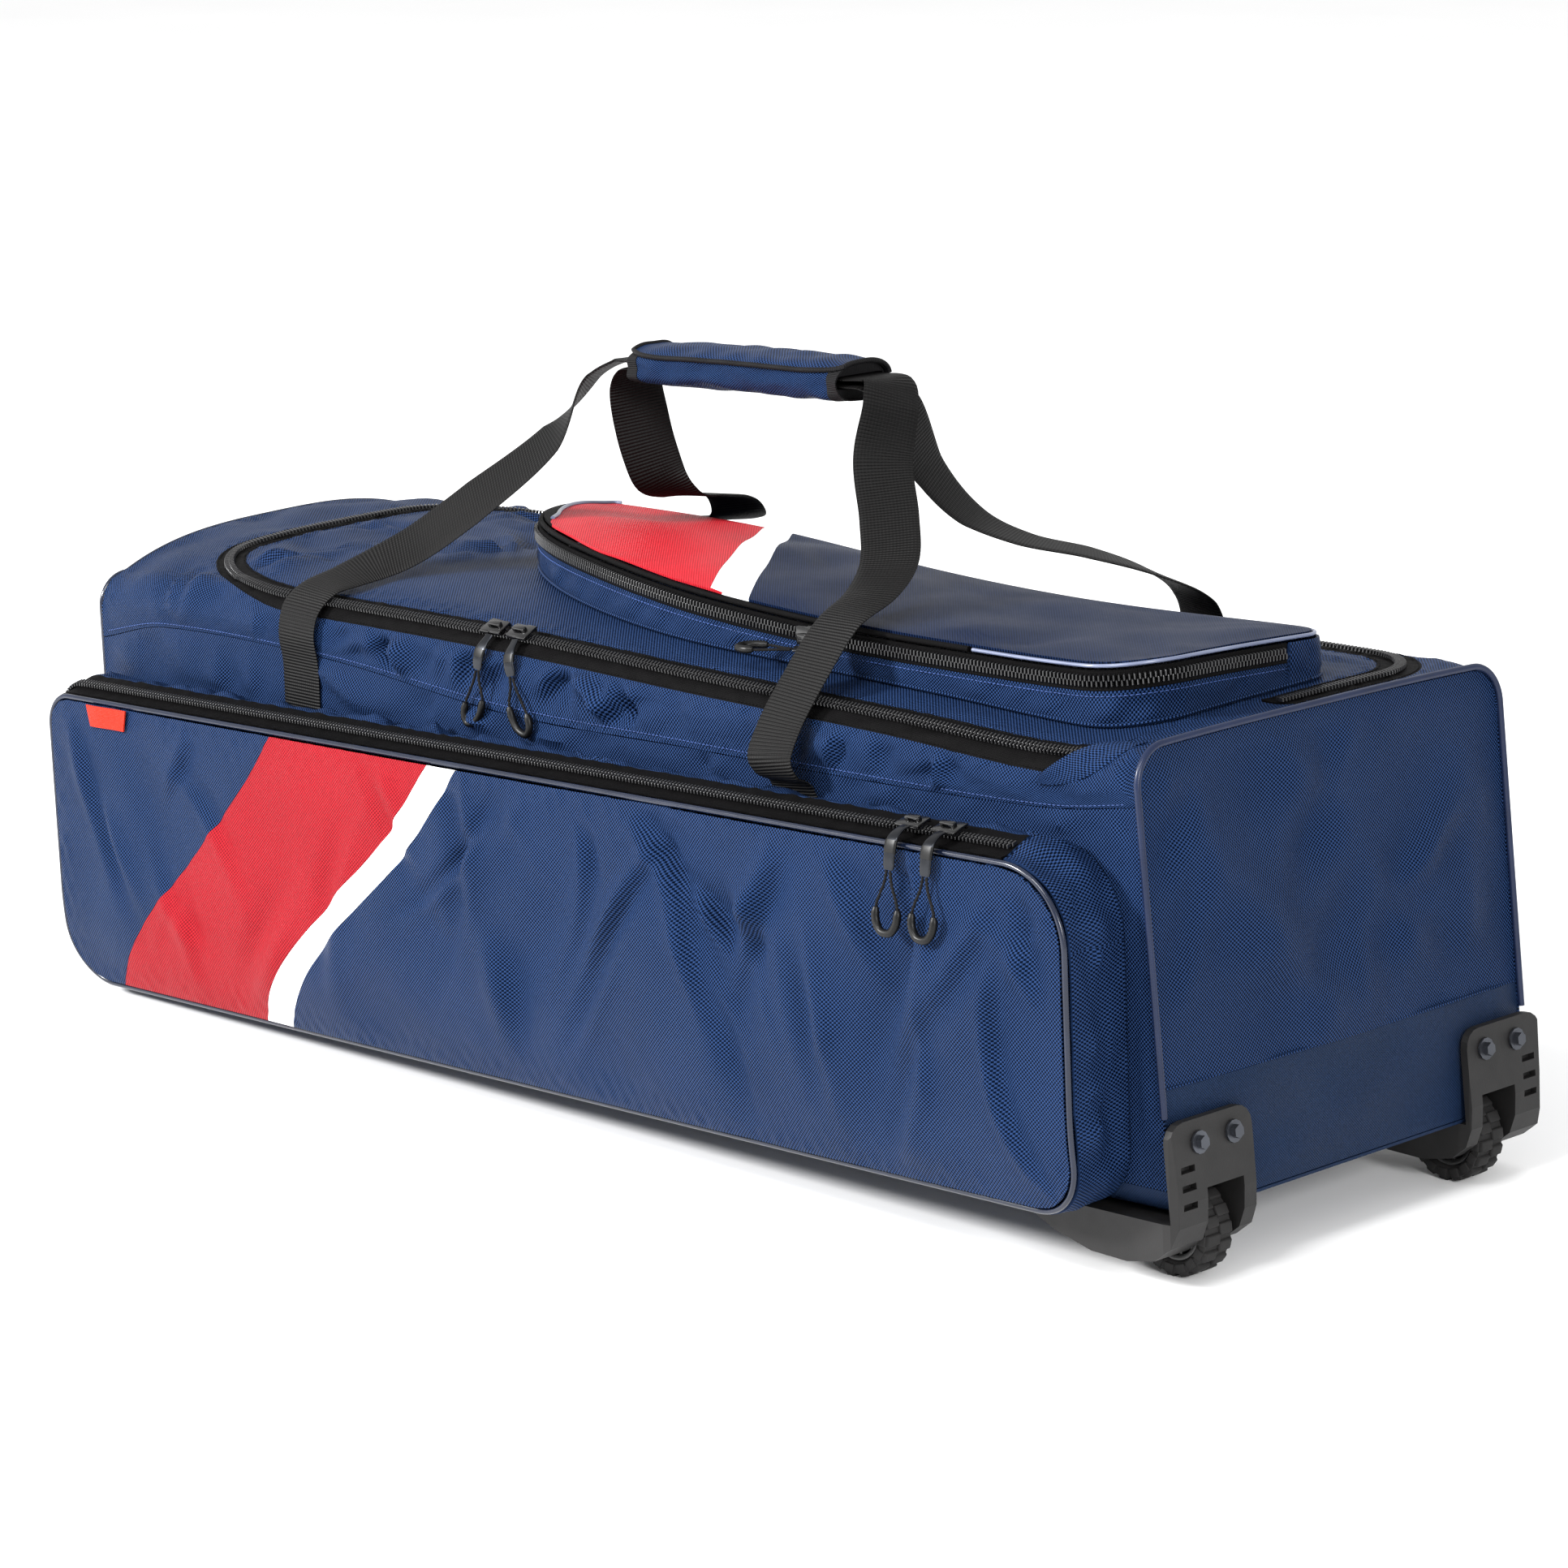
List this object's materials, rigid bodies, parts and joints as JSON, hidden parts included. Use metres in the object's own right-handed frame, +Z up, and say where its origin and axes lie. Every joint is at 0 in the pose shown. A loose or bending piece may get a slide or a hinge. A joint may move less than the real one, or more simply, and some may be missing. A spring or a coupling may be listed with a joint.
{
  "type": "wheeled bag",
  "caption": "Long soft wheeled holdall with a zipped lid, a piped front pocket, a raised top pocket, webbing carry straps joined by a padded grip, and wheels at one end.",
  "frame": {"origin": "on the floor, at the middle of the object's outline seen from above, without the zip pulls", "axes": "+X runs along the bag towards the wheels, -Y is the front with the large pocket, +Z is up"},
  "size_m": [1.0484, 0.4025, 0.4873],
  "materials": {
    "navy_cloth": "woven, with a fine two-tone pin-dot",
    "red_cloth": "woven",
    "white_cloth": "woven",
    "tab_cloth": "woven label tape",
    "zip_tape": "satin woven tape",
    "zip_plastic": "glossy moulded teeth and sliders",
    "navy_piping": "glossy cord piping",
    "grey_piping": "glossy cord piping",
    "webbing": "ribbed webbing",
    "pull_cord": "cord with a moulded grip",
    "tab_metal": "gunmetal",
    "housing_plastic": "fine grain",
    "tyre_rubber": "matt tread",
    "hub_plastic": "moulded",
    "steel": "zinc plated"
  },
  "bodies": {
    "bag": {"front_wall": "navy_cloth", "back_wall": "navy_cloth", "base_panel": "navy_cloth", "far_end_panel": "navy_cloth", "wheel_end_panel": "navy_cloth", "wheel_end_kick_panel": "navy_cloth", "far_end_piping": "navy_piping", "wheel_end_piping": "navy_piping", "top_border": "navy_cloth", "main_zip_tape": "zip_tape", "lid_hinge": "navy_cloth", "lid_panel": "navy_cloth", "main_zip_chain": "zip_plastic", "pocket_face_far": "navy_cloth", "pocket_stripe_red": "red_cloth", "pocket_stripe_white": "white_cloth", "pocket_face_near": "navy_cloth", "pocket_gusset": "navy_cloth", "pocket_zip_tape": "zip_tape", "pocket_zip_chain": "zip_plastic", "pocket_piping": "navy_piping", "side_tab": "tab_cloth", "top_pocket_red": "red_cloth", "top_pocket_white": "white_cloth", "top_pocket_navy": "navy_cloth", "top_pocket_gusset": "navy_cloth", "top_pocket_zip_tape": "zip_tape", "top_pocket_zip_chain": "zip_plastic", "top_pocket_piping": "grey_piping", "top_pocket_slider": "zip_plastic", "top_pocket_tab": "tab_metal", "top_pocket_pull": "pull_cord", "strap_front": "webbing", "strap_back": "webbing", "handle_wrap": "navy_cloth", "main_zip_far_slider": "zip_plastic", "main_zip_far_tab": "tab_metal", "main_zip_far_pull": "pull_cord", "main_zip_near_slider": "zip_plastic", "main_zip_near_tab": "tab_metal", "main_zip_near_pull": "pull_cord", "pocket_zip_far_slider": "zip_plastic", "pocket_zip_far_tab": "tab_metal", "pocket_zip_far_pull": "pull_cord", "pocket_zip_near_slider": "zip_plastic", "pocket_zip_near_tab": "tab_metal", "pocket_zip_near_pull": "pull_cord", "wheel_housing_front": "housing_plastic", "axle_front": "steel", "bolt_front_outer": "steel", "bolt_front_inner": "steel", "wheel_housing_back": "housing_plastic", "axle_back": "steel", "bolt_back_outer": "steel", "bolt_back_inner": "steel"},
    "wheel_front": {"tyre_front": "tyre_rubber", "wheel_hub_front": "hub_plastic"},
    "wheel_back": {"tyre_back": "tyre_rubber", "wheel_hub_back": "hub_plastic"}
  },
  "joints": [
    {"name": "wheel_front_spin", "type": "hinge", "parent": "bag", "child": "wheel_front", "pos_m": [0.48977, -0.10071, 0.029], "axis": [0, 1, 0], "continuous": true},
    {"name": "wheel_back_spin", "type": "hinge", "parent": "bag", "child": "wheel_back", "pos_m": [0.48977, 0.15329, 0.029], "axis": [0, 1, 0], "continuous": true}
  ]
}
